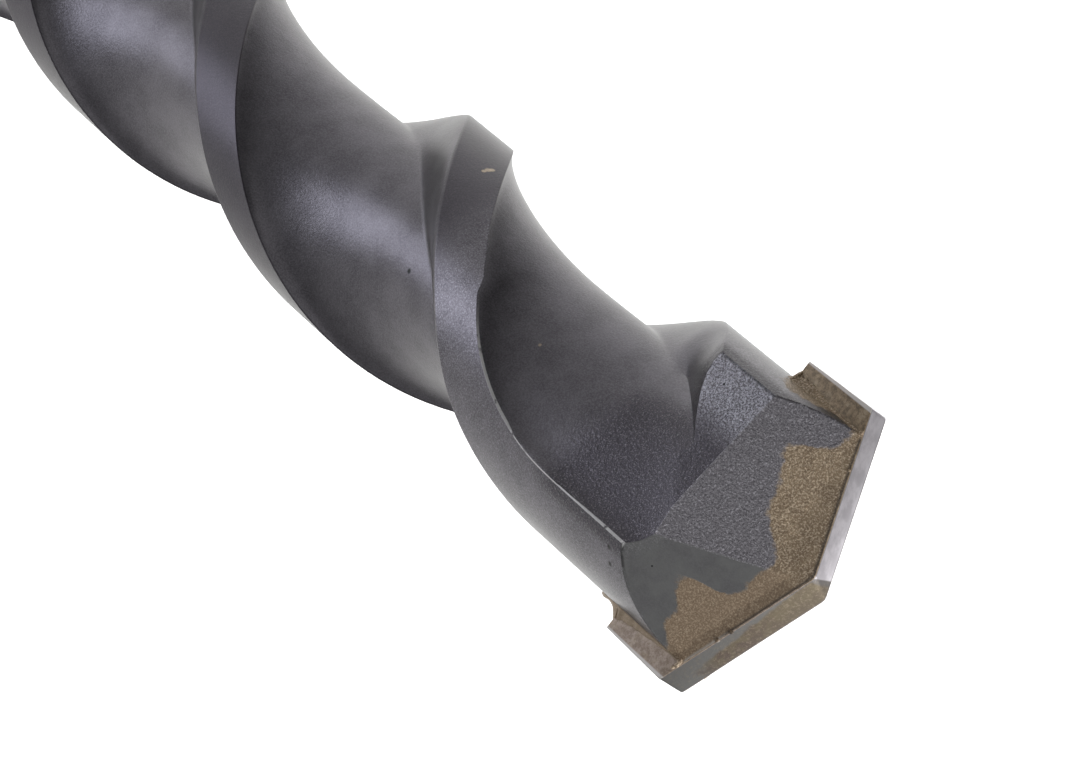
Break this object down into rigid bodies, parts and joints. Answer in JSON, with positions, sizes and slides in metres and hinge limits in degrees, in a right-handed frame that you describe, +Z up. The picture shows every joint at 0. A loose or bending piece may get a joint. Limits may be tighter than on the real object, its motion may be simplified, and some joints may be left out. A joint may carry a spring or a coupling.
{
  "type": "sds plus masonry drill bit",
  "caption": "Masonry drill bit for rotary hammers: grooved quick-change shank, helical flutes and a slotted steel head with a brazed carbide insert across its point",
  "frame": {"origin": "centre of the shank's flat end face, on which the bit stands", "axes": "+Z runs up the bit's axis from the shank end to the point. +X is the normal of the insert's broad faces, and +Y runs along the insert's width."},
  "size_m": [0.0102, 0.012, 0.16],
  "materials": {
    "blasted_steel": "grit-blasted hardened steel, dark grey with a fine speckle, bright along worn edges",
    "ground_carbide": "ground tungsten carbide, pale grey flanks with brown flux left near one corner",
    "braze_metal": "rough brown braze with flux residue"
  },
  "bodies": {
    "root": {"steel_body": "blasted_steel", "carbide_insert": "ground_carbide", "braze_joint": "braze_metal"}
  },
  "joints": []
}
